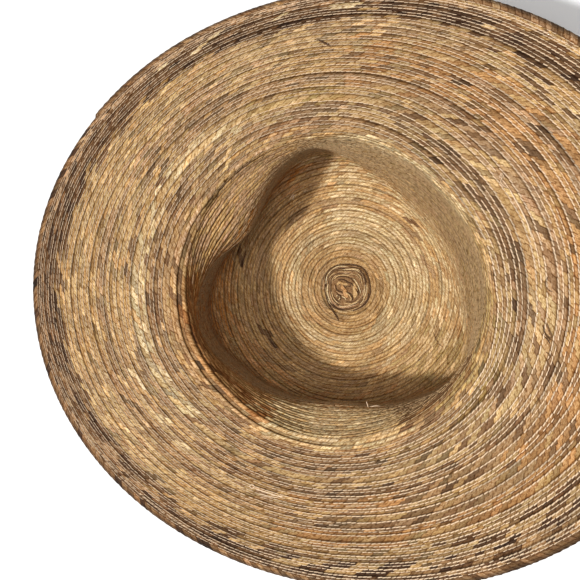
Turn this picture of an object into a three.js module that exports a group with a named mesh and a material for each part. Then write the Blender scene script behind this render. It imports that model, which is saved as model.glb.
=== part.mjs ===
// Wide-brim straw hat, sewn in a spiral from a flat plaited palm braid.
// It lies on its crown with the head opening up: +Z up, +X towards its back, Z = 0 under the crown.
// The origin is under the middle of the brim's oval outline. Millimetres throughout.
import * as THREE from 'three';

// Straw
const STRAW_THICKNESS = 2.0;
const GAP_BETWEEN_PIECES = 0.3;
const SEWN_AXIS = { x: -18, y: 0 };       // the spiral of braid starts here
const BUTTON_RADIUS = 14.5;

// Crown
const CROWN_DEPTH = 105;                   // from the surface it lies on to the head opening
const TIP_DISH = 3;                        // the tip is pushed in a little at its middle
const SEAT_BAND = 8;                       // step between the rings of the level band it lies on

// Crown radii about the sewn axis, a row for each corner and dent, degrees from +X
const CROWN_FOLDS = [
  { name: 'back',           azimuth: 0,   ridge: 72, wall: 81, waist: 89 },
  { name: 'back hollow',    azimuth: 43,  ridge: 66, wall: 76, waist: 86 },
  { name: 'back quarter',   azimuth: 75,  ridge: 77, wall: 81, waist: 86 },
  { name: 'upper corner',   azimuth: 103, ridge: 92, wall: 90, waist: 85 },
  { name: 'upper pinch',    azimuth: 146, ridge: 78, wall: 70, waist: 62 },
  { name: 'pinch to prow',  azimuth: 171, ridge: 88, wall: 84, waist: 77 },
  { name: 'prow',           azimuth: 193, ridge: 96, wall: 92, waist: 87 },
  { name: 'prow to pinch',  azimuth: 228, ridge: 86, wall: 81, waist: 77 },
  { name: 'lower pinch',    azimuth: 270, ridge: 79, wall: 73, waist: 68 },
  { name: 'pinch to corner', azimuth: 300, ridge: 85, wall: 82, waist: 79 },
  { name: 'lower corner',   azimuth: 327, ridge: 91, wall: 91, waist: 90 },
];
const WALL_HEIGHT = 32;
const UPPER_WALL_HEIGHT = 58;
const WAIST_HEIGHT = 81;

// Head opening, nearly round, with a tight turn at the front and a softer one at the back
const OPENING = { x: -14, y: 3, halfLength: 90, halfWidth: 88 };
const OPENING_HOLLOW = { azimuth: 38, depth: 6, spread: 34 };    // its back is pressed in on one side
const NECK = { frontInset: 1.5, backInset: 4, frontDrop: 6, backDrop: 8 };
const TURN = { frontReach: 9, backReach: 12 };

// Brim: an oval outline, and how far its front, back and sides fall towards the surface it lies on
const RIM = { x: -0.3, y: -0.4, halfLength: 204, halfWidth: 182 };
const BRIM_FALL = { front: 21, back: 0, sides: 37.5, curve: 1.4 };
const BRIM_RINGS = [0.32, 0.55, 0.78];
const EDGE_ROW_WIDTH = 3.6;

// The last row of braid spirals out and ends in a small step
const BRAID_END = { azimuth: 145, taper: 2.5, step: 1.7 };

// Facets
const COLUMNS = 72;
const BUTTON_COLUMNS = 36;

const radians = (degrees) => (degrees * Math.PI) / 180;
const mix = (a, b, share) => a + (b - a) * share;
const wrap = (degrees) => ((degrees % 360) + 360) % 360;

// Smooth closed curve through a column of the fold table
function foldRadius(column, azimuth) {
  const count = CROWN_FOLDS.length;
  const angle = wrap(azimuth);
  let k = count - 1;
  while (k > 0 && CROWN_FOLDS[k].azimuth > angle) k -= 1;
  const row = (offset) => {
    const index = k + offset;
    const fold = CROWN_FOLDS[(index + count) % count];
    const turn = 360 * Math.floor(index / count);
    return { at: fold.azimuth + turn, value: fold[column] };
  };
  const [before, start, end, after] = [row(-1), row(0), row(1), row(2)];
  const span = end.at - start.at;
  const t = (angle - start.at) / span;
  const startSlope = ((end.value - before.value) / (end.at - before.at)) * span;
  const endSlope = ((after.value - start.value) / (after.at - start.at)) * span;
  const t2 = t * t;
  const t3 = t2 * t;
  return (2 * t3 - 3 * t2 + 1) * start.value + (t3 - 2 * t2 + t) * startSlope
    + (3 * t2 - 2 * t3) * end.value + (t3 - t2) * endSlope;
}

function ovalRadius(oval, azimuth) {
  const a = radians(azimuth);
  return 1 / Math.hypot(Math.cos(a) / oval.halfLength, Math.sin(a) / oval.halfWidth);
}

function openingRadius(azimuth) {
  const away = wrap(azimuth - OPENING_HOLLOW.azimuth + 180) - 180;
  return ovalRadius(OPENING, azimuth) - OPENING_HOLLOW.depth * Math.exp(-((away / OPENING_HOLLOW.spread) ** 2));
}

function around(centre, radius, azimuth, z) {
  const a = radians(azimuth);
  return new THREE.Vector3(centre.x + radius * Math.cos(a), centre.y + radius * Math.sin(a), z);
}

// 1 at the back of the hat, 0 at its front
const backShare = (azimuth) => 0.5 + 0.5 * Math.cos(radians(azimuth));

function brimFall(azimuth) {
  const a = radians(azimuth);
  const ends = (BRIM_FALL.front + BRIM_FALL.back) / 2;
  const tilt = (BRIM_FALL.back - BRIM_FALL.front) / 2;
  const curl = (ends - BRIM_FALL.sides) / 2;
  return (ends + BRIM_FALL.sides) / 2 + tilt * Math.cos(a) + curl * Math.cos(2 * a);
}

// How far the rim stands out past its oval: a slow spiral that drops back where the braid ends
function spiralStep(azimuth) {
  const past = wrap(azimuth - BRAID_END.azimuth);
  const rise = past / (360 - BRAID_END.taper);
  const share = rise < 1 ? rise : (360 - past) / BRAID_END.taper;
  return BRAID_END.step * (share - 0.5);
}

function brimPoint(azimuth, share) {
  const centre = { x: mix(OPENING.x, RIM.x, share), y: mix(OPENING.y, RIM.y, share) };
  const radius = mix(openingRadius(azimuth), ovalRadius(RIM, azimuth), share);
  const level = CROWN_DEPTH - STRAW_THICKNESS / 2;
  return around(centre, radius, azimuth, level - brimFall(azimuth) * share ** BRIM_FALL.curve);
}

// The rings that shape the hat's middle surface at one azimuth, from the button to the rim
function controlRings(azimuth) {
  const half = STRAW_THICKNESS / 2;
  const back = backShare(azimuth);
  const ridge = foldRadius('ridge', azimuth);
  const wall = foldRadius('wall', azimuth);
  const waist = foldRadius('waist', azimuth);
  const opening = openingRadius(azimuth);
  const neck = opening - mix(NECK.frontInset, NECK.backInset, back);
  const neckHeight = CROWN_DEPTH - half - mix(NECK.frontDrop, NECK.backDrop, back);
  const turn = mix(TURN.frontReach, TURN.backReach, back);
  const brimLength = ovalRadius(RIM, azimuth) - opening;
  const level = CROWN_DEPTH - half;
  const crown = (radius, z) => around(SEWN_AXIS, radius, azimuth, z);
  return [
    crown(0, half + TIP_DISH),
    crown(20, half + TIP_DISH),
    crown(42, half + 0.6 * TIP_DISH),
    crown(ridge - 2 * SEAT_BAND, half),
    crown(ridge - SEAT_BAND, half),
    crown(ridge, half),
    crown(wall, WALL_HEIGHT),
    crown(mix(wall, waist, 0.45), UPPER_WALL_HEIGHT),
    crown(waist, WAIST_HEIGHT),
    around(OPENING, neck, azimuth, neckHeight),
    around(OPENING, opening, azimuth, level),
    brimPoint(azimuth, turn / brimLength),
    ...BRIM_RINGS.map((share) => brimPoint(azimuth, share)),
    brimPoint(azimuth, 1),
  ];
}
const LAST_RING = controlRings(0).length - 1;
const RING = { seat: 3, lip: 10 };

// Quadratic B-spline along the rings; place runs from 0 at the button to LAST_RING - 1 at the rim
function middlePoint(azimuth, place) {
  const rings = controlRings(azimuth);
  rings[0].multiplyScalar(2).sub(rings[1]);
  rings[LAST_RING].multiplyScalar(2).sub(rings[LAST_RING - 1]);
  const span = Math.min(Math.floor(place), LAST_RING - 2);
  const t = place - span;
  return new THREE.Vector3()
    .addScaledVector(rings[span], 0.5 * (1 - t) ** 2)
    .addScaledVector(rings[span + 1], 0.5 + t * (1 - t))
    .addScaledVector(rings[span + 2], 0.5 * t * t);
}

// Direction along the meridian, outwards, and the normal that points to the wearer's side
function directions(azimuth, place) {
  const step = 1e-3;
  const low = Math.max(place - step, 0);
  const high = Math.min(place + step, LAST_RING - 1);
  const along = middlePoint(azimuth, high).sub(middlePoint(azimuth, low)).normalize();
  const round = middlePoint(azimuth + 0.05, place).sub(middlePoint(azimuth - 0.05, place)).normalize();
  return { along, inside: new THREE.Vector3().crossVectors(along, round).normalize() };
}

// A point of one face of the straw: side is +1 on the wearer's side, -1 on the outer side
function facePoint(azimuth, place, side, slide) {
  const { along, inside } = directions(azimuth, place);
  return middlePoint(azimuth, place)
    .addScaledVector(along, slide)
    .addScaledVector(inside, (side * STRAW_THICKNESS) / 2);
}

function places(first, last, rows) {
  return Array.from({ length: rows + 1 }, (_, k) => mix(first, last, k / rows));
}

function meshFrom(name, positions, triangles, material) {
  const geometry = new THREE.BufferGeometry();
  geometry.setAttribute('position', new THREE.Float32BufferAttribute(positions.flatMap((p) => p.toArray()), 3));
  geometry.setIndex(triangles);
  geometry.computeVertexNormals();
  const mesh = new THREE.Mesh(geometry, material);
  mesh.name = name;
  return mesh;
}

// A closed ring of straw: its profile runs out along the wearer's side and back along the outer side
function strawRing(name, azimuths, rowPlaces, material, standOut = () => 0) {
  const positions = [];
  const profile = 2 * rowPlaces.length;
  const last = rowPlaces.length - 1;
  for (const azimuth of azimuths) {
    const slide = (k) => {
      if (k === 0) return GAP_BETWEEN_PIECES / 2;
      if (k === last) return -GAP_BETWEEN_PIECES / 2 + standOut(azimuth);
      return 0;
    };
    rowPlaces.forEach((place, k) => positions.push(facePoint(azimuth, place, 1, slide(k))));
    for (let k = last; k >= 0; k -= 1) positions.push(facePoint(azimuth, rowPlaces[k], -1, slide(k)));
  }
  const triangles = [];
  azimuths.forEach((_, column) => {
    const here = column * profile;
    const next = ((column + 1) % azimuths.length) * profile;
    for (let k = 0; k < profile; k += 1) {
      const up = (k + 1) % profile;
      triangles.push(here + k, here + up, next + up, here + k, next + up, next + k);
    }
  });
  return meshFrom(name, positions, triangles, material);
}

// The button is a closed disc of straw
function strawDisc(name, azimuths, rowPlaces, material) {
  const positions = [middlePoint(0, 0).setZ(middlePoint(0, 0).z + STRAW_THICKNESS / 2)];
  positions.push(middlePoint(0, 0).setZ(middlePoint(0, 0).z - STRAW_THICKNESS / 2));
  const last = rowPlaces.length - 1;
  for (const azimuth of azimuths) {
    const slide = (k) => (k === last ? -GAP_BETWEEN_PIECES / 2 : 0);
    rowPlaces.forEach((place, k) => positions.push(facePoint(azimuth, place, 1, slide(k))));
    for (let k = last; k >= 0; k -= 1) positions.push(facePoint(azimuth, rowPlaces[k], -1, slide(k)));
  }
  const profile = 2 * rowPlaces.length;
  const triangles = [];
  azimuths.forEach((_, column) => {
    const here = 2 + column * profile;
    const next = 2 + ((column + 1) % azimuths.length) * profile;
    triangles.push(0, here, next);
    for (let k = 0; k < profile - 1; k += 1) {
      triangles.push(here + k, here + k + 1, next + k + 1, here + k, next + k + 1, next + k);
    }
    triangles.push(1, next + profile - 1, here + profile - 1);
  });
  return meshFrom(name, positions, triangles, material);
}

// Where the button ends, and where the edge row begins, as places along the meridian
function placeAtRadius(radius) {
  let place = 0;
  while (middlePoint(0, place).x - SEWN_AXIS.x < radius) place += 1e-3;
  return place;
}

function placeBeforeRim(azimuth, width) {
  const rim = middlePoint(azimuth, LAST_RING - 1);
  let place = LAST_RING - 1;
  while (middlePoint(azimuth, place).distanceTo(rim) < width) place -= 1e-3;
  return place;
}

const columns = (count) => Array.from({ length: count }, (_, k) => (360 * k) / count);
const edgeColumns = [...columns(COLUMNS), BRAID_END.azimuth - BRAID_END.taper].sort((a, b) => a - b);

const BUTTON_PLACE = placeAtRadius(BUTTON_RADIUS);
const EDGE_PLACE = placeBeforeRim(180, EDGE_ROW_WIDTH);
const RIM_PLACE = LAST_RING - 1;

const straw = (color, roughness) => new THREE.MeshStandardMaterial({ color, roughness, metalness: 0 });
const goldenStraw = straw(0xcba66c, 0.72);
const shadedStraw = straw(0xb98f58, 0.75);
const brownStraw = straw(0x7d5f43, 0.78);
const edgeStraw = straw(0x9a7650, 0.76);

const hat = new THREE.Group();
hat.name = 'straw_hat';
hat.add(strawDisc('crown_button', columns(BUTTON_COLUMNS), [BUTTON_PLACE], brownStraw));
hat.add(strawRing('crown_tip', columns(COLUMNS), [
  BUTTON_PLACE,
  ...places(1.5, RING.seat, 2),
  RING.seat + 1,
], goldenStraw));
hat.add(strawRing('crown_side', columns(COLUMNS), places(RING.seat + 1, RING.lip - 0.5, 13), shadedStraw));
hat.add(strawRing('brim', columns(COLUMNS), [
  ...places(RING.lip - 0.5, RING.lip + 0.5, 3),
  ...places(RING.lip + 1, EDGE_PLACE, 6),
], goldenStraw));
hat.add(strawRing('brim_edge', edgeColumns, [EDGE_PLACE, (EDGE_PLACE + RIM_PLACE) / 2, RIM_PLACE], edgeStraw,
  spiralStep));

export default hat;
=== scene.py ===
"""The look of the wide-brim straw hat: one plaited palm braid, sewn in a spiral from the button to the rim.

Lengths in the tables are millimetres and MM turns them into metres. An azimuth is in degrees from the
hat's back, which is +X, towards +Y. A row number says how far out a place is: 0 at the button's edge,
BREAK_ROW where the crown breaks into the brim, LAST_ROW at the rim.
"""
import math

import bpy
import numpy as np
from mathutils import Matrix, Vector

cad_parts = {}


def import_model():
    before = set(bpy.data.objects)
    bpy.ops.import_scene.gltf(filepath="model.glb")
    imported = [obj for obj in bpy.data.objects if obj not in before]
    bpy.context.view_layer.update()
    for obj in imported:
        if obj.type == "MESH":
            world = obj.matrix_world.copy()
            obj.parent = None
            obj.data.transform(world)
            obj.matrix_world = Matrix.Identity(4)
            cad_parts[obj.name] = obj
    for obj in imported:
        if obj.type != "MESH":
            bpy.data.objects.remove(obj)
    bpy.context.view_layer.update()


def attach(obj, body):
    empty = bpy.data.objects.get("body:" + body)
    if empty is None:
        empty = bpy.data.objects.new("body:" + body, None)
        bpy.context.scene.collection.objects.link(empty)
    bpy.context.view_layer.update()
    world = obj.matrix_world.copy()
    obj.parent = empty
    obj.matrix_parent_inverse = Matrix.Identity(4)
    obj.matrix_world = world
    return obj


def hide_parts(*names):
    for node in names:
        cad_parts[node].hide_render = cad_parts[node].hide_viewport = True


MM = 0.001

# The hat's middle surface, as the part has it
STRAW_THICKNESS = 2.0
SEWN_AXIS = (-18.0, 0.0)
BUTTON_RADIUS = 14.5
CROWN_DEPTH = 105.0
TIP_DISH = 3.0
SEAT_BAND = 8.0
FOLD_COLUMNS = ("azimuth", "ridge", "wall", "waist")
CROWN_FOLDS = np.array([
    (0, 72, 81, 89),
    (43, 66, 76, 86),
    (75, 77, 81, 86),
    (103, 92, 90, 85),
    (146, 78, 70, 62),
    (171, 88, 84, 77),
    (193, 96, 92, 87),
    (228, 86, 81, 77),
    (270, 79, 73, 68),
    (300, 85, 82, 79),
    (327, 91, 91, 90),
], float)
WALL_HEIGHT = 32.0
UPPER_WALL_HEIGHT = 58.0
WAIST_HEIGHT = 81.0
OPENING = {"x": -14.0, "y": 3.0, "length": 90.0, "width": 88.0}
OPENING_HOLLOW = {"azimuth": 38.0, "depth": 6.0, "spread": 34.0}
NECK = {"front_inset": 1.5, "back_inset": 4.0, "front_drop": 6.0, "back_drop": 8.0}
TURN = {"front": 9.0, "back": 12.0}
RIM = {"x": -0.3, "y": -0.4, "length": 204.0, "width": 182.0}
BRIM_FALL = {"front": 21.0, "back": 0.0, "sides": 37.5, "curve": 1.4}
BRIM_RINGS = (0.32, 0.55, 0.78)
TIP_RINGS = [(0, 1.0), (20, 1.0), (42, 0.6)]    # radius, and how much of the dish lifts it
UPPER_WALL_SHARE = 0.45         # how far its radius is on the way from the wall's to the waist's
BREAK_RING = 10                 # number of the control ring at the break

# The braid's rows
CROWN_ROW = 4.35
BREAK_ROW = 42
LAST_ROW = 63
BRAID_END = 145.0               # azimuth where the spiral of braid ends
RIM_STEP = 0.37                 # rows that the rim gains on its last turn
BRAID_SEED, STITCH_SEED, BUTTON_SEED = 100, 200, 50
CLOSE_TURNS = 1.5               # turns before the rim that are sewn closer
RIM_TURN = 62                   # the turn of braid that makes the rim
RIM_RUN_IN = 0.1                # turns over which the braid takes on the rim's width
WANDER_TURNS = np.linspace(-1, LAST_ROW + 1, 8000)
# How far row BREAK_ROW lies past the middle of the break, by azimuth
BREAK_LINE = [(0, -4.8), (60, -4.0), (96, -1.8), (118, 1.2), (140, 1.6), (160, 4.0), (181, 5.6), (200, 7.0),
              (223, 4.2), (263, 4.0), (293, 1.8), (331, 0.0), (345, -2.6)]
# Share of the brim's width that its first third of rows takes, by azimuth
BRIM_THIRD = [(0, 0.312), (90, 0.337), (180, 0.375), (270, 0.287)]
CROWN_SPREAD = 2.5              # power that puts the crown's spare width into its outer rows
THIRD_BEND = 4.5                # makes x (1 - x) come to 1 where x is one third

# The table of the surface, from FIRST_ROW to past the rim
FIRST_ROW = -3.3
ROW_STEP = 0.1
BEYOND_RIM = 0.6
SPAN_STEPS = 50                 # places between two control rings
OUTWARD_REACH = 10.0            # how far it goes straight on past the rim

# Strands and sewing
STRAND_LENGTH = 6.4
STRAND_SLANT = 5.0              # how far a strand leans back over one row
EDGE_SLANT = -5.0               # the binding turn at the rim leans the other way
EDGE_STRAND_LENGTH = 4.6
SERRATION = 0.05                # rows that each strand's end stands out at the rim
INNER_STRAND, STRAND_GROWTH = 2.5, 0.2          # strands are shorter near the button
STITCH_PITCH = 3.0

PALETTE = {                     # sRGB
    "pale": (228, 200, 146),
    "cream": (217, 186, 132),
    "straw": (211, 174, 117),
    "golden": (197, 156, 99),
    "tan": (185, 146, 98),
    "rosy": (190, 150, 105),
    "orange": (194, 144, 88),
    "amber": (192, 130, 66),
    "olive": (184, 150, 92),
    "grey_tan": (168, 133, 92),
    "umber": (148, 111, 72),
    "brown": (123, 89, 55),
    "russet": (158, 104, 54),
    "bark": (138, 101, 60),
    "dark_brown": (87, 60, 37),
    "thread": (242, 212, 176),
}

# Which straw a stretch of rows is plaited from, charted: the start and end of a sector, then its
# bands with their inner and outer row, their straw, a second straw and its share. Later bands lie over
# earlier ones. A last number says that the two straws alternate in runs of that many strands.
# In the crown some bands are painted light and shade, not straw of that colour; they are marked below.
CHART = [
    # The crown
    (0, 360, [(-4, 2, "golden", "tan", 0.3), (2, 4, "golden", "straw", 0.4),
        (4, 9, "cream", "straw", 0.4)]),
    (110, 300, [(6, 9, "straw", "golden", 0.5)]),
    (300, 360, [(3, 10, "cream", "straw", 0.3)]),
    (0, 110, [(3, 10, "cream", "pale", 0.35)]),
    (0, 360, [(9, 16, "golden", "tan", 0.3)]),
    (335, 360, [(10, 17, "cream", "golden", 0.45)]),
    # Painted shadow: the olive straw on this part of the tip stands in for the crown's shadow reaching it
    (300, 335, [(9.5, 17, "olive", "straw", 0.4)]),
    (0, 100, [(10, 17, "cream", "golden", 0.5)]),
    (110, 310, [(13, 40.2, "golden", "orange", 0.5)]),
    # Painted warm shade: the amber, orange and russet straws on the crown's shaded front wall, and the tan
    # and umber rows at the break, stand in for its shadow and the light bounced inside the crown
    (110, 200, [(15, 37, "amber", "orange", 0.35)]),
    (200, 245, [(15, 37, "orange", "golden", 0.4)]),
    (160, 240, [(37, 40.2, "orange", "russet", 0.5)]),
    (110, 310, [(40.2, 42, "tan", "umber", 0.35)]),
    # Painted half-shade: the olive straw on the back walls, in this band and the next three, stands in for
    # their shade and the light bounced onto them
    (310, 360, [(17, 42, "olive", "golden", 0.35)]),
    (0, 110, [(16, 42, "olive", "tan", 0.4)]),
    (55, 110, [(17, 34, "straw", "olive", 0.5)]),
    (0, 30, [(34, 41.5, "olive", "straw", 0.45)]),
    (105, 175, [(33, 41.5, "rosy", "golden", 0.4)]),
    # Painted light: pale straw at the top of the back wall, where the wall catches the lamp
    (25, 95, [(34, 41.5, "pale", "cream", 0.5)]),
    (95, 110, [(34, 41.5, "golden", "tan", 0.4)]),
    # Painted light: pale straw that lightens this stretch of wall, which the lamp leaves in shadow
    (88, 112, [(17, 33, "pale", "straw", 0.45)]),
    (240, 300, [(33.5, 41.5, "cream", "straw", 0.45)]),
    # Painted shadow: bark and brown straws on this part of the wall stand in for the shade there
    (296, 332, [(22, 40.5, "bark", "brown", 0.3)]),
    (205, 216, [(10.6, 11.6, "brown", "dark_brown", 0.4)]),
    (163, 170, [(13, 14, "brown", "dark_brown", 0.4)]),
    (40, 46, [(10, 11, "brown", "tan", 0.4)]),
    # From the break outwards
    (0, 360, [(41.5, 57, "tan", "golden", 0.4)]),
    (0, 60, [(42, 43, "straw", "tan", 0.5), (43, 43.9, "umber", "straw", 0.45, 2),
        (43.9, 45.1, "grey_tan", "umber", 0.45), (45.1, 46.2, "golden", "straw", 0.4),
        (46.2, 47.3, "straw", "rosy", 0.45), (47.3, 48.7, "rosy", "umber", 0.3),
        (48.7, 49.5, "golden", "orange", 0.4), (49.5, 50.4, "orange", "umber", 0.2),
        (50.4, 52, "orange", "golden", 0.5), (52, 53.2, "rosy", "umber", 0.3),
        (53.2, 55, "orange", "golden", 0.3), (55, 56.4, "straw", "umber", 0.25),
        (56.4, 58, "golden", "brown", 0.3, 2)]),
    (60, 90, [(42, 43.2, "tan", "umber", 0.4), (43.2, 44.9, "straw", "grey_tan", 0.4),
        (44.9, 45.4, "tan", "umber", 0.5), (45.4, 47.5, "straw", "golden", 0.35),
        (47.5, 48.3, "orange", "tan", 0.4), (48.3, 49.1, "rosy", "tan", 0.4),
        (49.1, 50.6, "orange", "golden", 0.25), (50.6, 51.3, "straw", "umber", 0.25),
        (51.3, 52.1, "orange", "umber", 0.35), (52.4, 53.4, "orange", "golden", 0.3),
        (53.4, 54, "straw", "golden", 0.5), (54, 54.9, "golden", "orange", 0.5),
        (54.9, 58, "straw", "tan", 0.5), (58, 60.9, "brown", "dark_brown", 0.45),
        (59, 59.5, "dark_brown", "straw", 0.25, 2), (60.9, 61.5, "brown", "tan", 0.5),
        (61.5, 62.6, "golden", "tan", 0.4)]),
    (90, 120, [(42, 43.4, "rosy", "umber", 0.5), (43.4, 45, "straw", "grey_tan", 0.4),
        (45, 47.2, "straw", "olive", 0.3), (47.2, 48, "tan", "golden", 0.4),
        (48, 49.2, "rosy", "grey_tan", 0.45), (49.2, 50.4, "golden", "straw", 0.5),
        (50.4, 51.2, "straw", "tan", 0.4)]),
    (90, 108, [(51.2, 53.2, "golden", "straw", 0.5)]),
    (108, 120, [(51.2, 53.2, "straw", "rosy", 0.5)]),
    (90, 120, [(53.2, 57.3, "straw", "tan", 0.5), (57.3, 60.6, "brown", "dark_brown", 0.5),
        (59.6, 60.4, "brown", "pale", 0.3, 2), (60.6, 62.6, "rosy", "brown", 0.5)]),
    (120, 150, [(42, 43.5, "straw", "tan", 0.5), (43.5, 44.9, "straw", "grey_tan", 0.4),
        (44.9, 47, "straw", "pale", 0.3), (47, 48.5, "straw", "tan", 0.5),
        (48.5, 50.7, "golden", "grey_tan", 0.45)]),
    (120, 137, [(48.6, 49.2, "tan", "umber", 0.4)]),
    (120, 150, [(50.7, 53, "rosy", "straw", 0.45), (53, 57, "straw", "golden", 0.5),
        (57, 58.3, "brown", "golden", 0.4), (58.3, 60.3, "brown", "dark_brown", 0.5),
        (59.9, 60.5, "brown", "pale", 0.3, 2), (60.4, 61.4, "brown", "tan", 0.35),
        (61.4, 62.6, "rosy", "brown", 0.35)]),
    (150, 195, [(42, 44.5, "tan", "umber", 0.3), (44.5, 46.2, "straw", "pale", 0.45),
        (46.2, 47.3, "golden", "umber", 0.3), (47.3, 49, "golden", "straw", 0.5),
        (49, 50.3, "golden", "straw", 0.5), (50.3, 51.1, "rosy", "grey_tan", 0.5),
        (51.1, 53, "golden", "straw", 0.5), (53, 56.7, "straw", "golden", 0.45),
        (56.7, 57.8, "golden", "brown", 0.5, 2), (57.8, 62.6, "brown", "dark_brown", 0.4)]),
    (150, 165, [(60.8, 62.6, "rosy", "brown", 0.5)]),
    (195, 225, [(42, 43, "straw", "tan", 0.5), (43, 44.7, "grey_tan", "tan", 0.45),
        (44.8, 46.2, "pale", "straw", 0.5), (46.2, 47.8, "grey_tan", "straw", 0.3)]),
    (210, 222, [(46.8, 47.6, "grey_tan", "umber", 0.5)]),
    (195, 225, [(47.8, 49, "golden", "straw", 0.5)]),
    (200, 225, [(48.9, 49.8, "tan", "pale", 0.35, 2)]),
    (195, 225, [(49.8, 51, "straw", "tan", 0.5), (51, 53, "tan", "umber", 0.22),
        (53, 57.5, "straw", "tan", 0.4), (57.5, 62.6, "brown", "grey_tan", 0.4)]),
    (200, 225, [(58.4, 59.2, "brown", "dark_brown", 0.5)]),
    (218, 225, [(60.5, 61.5, "dark_brown", "brown", 0.4)]),
    (225, 255, [(42, 43, "tan", "umber", 0.45), (43, 44, "straw", "tan", 0.5),
        (44, 45.1, "grey_tan", "umber", 0.25), (45.1, 46.9, "straw", "umber", 0.2),
        (46.9, 48.9, "tan", "umber", 0.3), (48.9, 50, "golden", "straw", 0.4),
        (50, 51.5, "straw", "rosy", 0.4), (51.5, 52.5, "tan", "umber", 0.25),
        (52.5, 53.8, "tan", "golden", 0.5), (53.8, 58, "golden", "straw", 0.5),
        (57.9, 59.5, "golden", "brown", 0.5, 3), (59.5, 61.6, "brown", "dark_brown", 0.4)]),
    (240, 255, [(58.8, 59.8, "straw", "brown", 0.45, 2)]),
    (225, 255, [(61.6, 62.6, "brown", "orange", 0.3)]),
    (255, 285, [(42, 43.5, "tan", "umber", 0.4), (43.5, 45.3, "grey_tan", "rosy", 0.4),
        (45.3, 47.7, "straw", "golden", 0.3)]),
    (255, 262, [(45.4, 46.6, "olive", "umber", 0.4)]),
    (267, 274, [(45.9, 46.8, "umber", "tan", 0.2)]),
    (255, 285, [(47.7, 49.3, "grey_tan", "umber", 0.45), (49.3, 50.4, "orange", "golden", 0.2),
        (50.4, 51.3, "tan", "umber", 0.35), (51.3, 52.3, "straw", "golden", 0.5),
        (52.3, 54.3, "grey_tan", "umber", 0.45), (54.3, 55.2, "orange", "golden", 0.2),
        (55.2, 55.8, "golden", "straw", 0.5), (55.8, 56.6, "orange", "golden", 0.3),
        (56.6, 58.3, "golden", "straw", 0.5), (58.2, 58.9, "straw", "grey_tan", 0.5),
        (58.9, 60.9, "straw", "dark_brown", 0.5, 3), (60.9, 62.6, "brown", "dark_brown", 0.5)]),
    (285, 315, [(42, 44, "straw", "tan", 0.5), (44, 46, "tan", "straw", 0.4),
        (46, 47.8, "straw", "umber", 0.15), (47.8, 49, "tan", "umber", 0.4),
        (49, 50.7, "tan", "umber", 0.25), (50.7, 52, "golden", "straw", 0.4),
        (52, 53.5, "tan", "umber", 0.25), (53.5, 55.5, "orange", "golden", 0.35),
        (55.5, 57, "golden", "straw", 0.5), (57, 57.5, "tan", "brown", 0.5),
        (57.5, 58.9, "straw", "brown", 0.45, 3), (58.9, 59.9, "tan", "dark_brown", 0.35),
        (59.9, 62.6, "tan", "brown", 0.35)]),
    (315, 345, [(42, 43.5, "olive", "straw", 0.5), (43.5, 45, "straw", "rosy", 0.5),
        (45, 47, "straw", "umber", 0.25), (47, 48.3, "straw", "tan", 0.5),
        (48.3, 49.4, "tan", "umber", 0.45), (49.4, 51.5, "orange", "umber", 0.2),
        (51.5, 53, "orange", "golden", 0.2), (53, 54.5, "orange", "umber", 0.25),
        (54.5, 57, "golden", "orange", 0.45), (57, 59, "straw", "brown", 0.5, 3)]),
    (345, 360, [(42, 43.5, "straw", "tan", 0.5), (43.5, 45.2, "rosy", "umber", 0.35),
        (45.2, 47.2, "straw", "rosy", 0.3), (47.2, 48.8, "rosy", "umber", 0.35),
        (48.8, 50.4, "golden", "orange", 0.5), (50.4, 55, "orange", "umber", 0.15),
        (55, 57, "golden", "orange", 0.4), (57, 59, "straw", "brown", 0.5, 3)]),
    (315, 360, [(59, 62.6, "brown", "dark_brown", 0.35)]),
    (0, 60, [(58, 60.9, "brown", "dark_brown", 0.4), (60.9, 62.6, "golden", "brown", 0.4)]),
    (0, 360, [(62.7, 64, "umber", "rosy", 0.4)]),
    (150, 240, [(62.7, 64, "umber", "dark_brown", 0.35)]),
]


def mix(first, second, share):
    return first + (second - first) * share


def rising(value, first, last):
    """0 up to the first value, 1 from the last on."""
    return np.clip((value - first) / (last - first), 0, 1)


def smooth_between(first, second, first_slope, second_slope, t):
    """A cubic from first to second that has these slopes there."""
    return ((2 * t ** 3 - 3 * t ** 2 + 1) * first + (t ** 3 - 2 * t ** 2 + t) * first_slope
            + (3 * t ** 2 - 2 * t ** 3) * second + (t ** 3 - t ** 2) * second_slope)


def unit(vectors):
    return vectors / np.linalg.norm(vectors, axis=-1, keepdims=True)


def run_length(points):
    """Distance along a line of points, at each of them."""
    return np.concatenate([[0], np.cumsum(np.linalg.norm(np.diff(points, axis=0), axis=1))])


def around_table(table, azimuth):
    """A column of values given by azimuth, joined round the full circle."""
    at = np.array([row[0] for row in table], float)
    value = np.array([row[1] for row in table], float)
    return np.interp(azimuth, np.concatenate([at - 360, at, at + 360]), np.tile(value, 3))


def fold_radius(column, azimuth):
    """Smooth closed curve through a column of the fold table."""
    at, value = CROWN_FOLDS[:, 0], CROWN_FOLDS[:, FOLD_COLUMNS.index(column)]
    at = np.concatenate([at - 360, at, at + 360])
    value = np.tile(value, 3)
    slope = np.zeros(len(at))
    slope[1:-1] = (value[2:] - value[:-2]) / (at[2:] - at[:-2])
    k = np.searchsorted(at, azimuth, side="right") - 1
    span = at[k + 1] - at[k]
    t = (azimuth - at[k]) / span
    return smooth_between(value[k], value[k + 1], slope[k] * span, slope[k + 1] * span, t)


def oval_radius(oval, azimuth):
    a = np.radians(azimuth)
    return 1 / np.hypot(np.cos(a) / oval["length"], np.sin(a) / oval["width"])


def opening_radius(azimuth):
    away = np.mod(azimuth - OPENING_HOLLOW["azimuth"] + 180, 360) - 180
    dent = OPENING_HOLLOW["depth"] * np.exp(-((away / OPENING_HOLLOW["spread"]) ** 2))
    return oval_radius(OPENING, azimuth) - dent


def around(x, y, radius, azimuth, z):
    a = np.radians(azimuth)
    return np.stack([x + radius * np.cos(a), y + radius * np.sin(a), z + 0 * a], -1)


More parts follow.
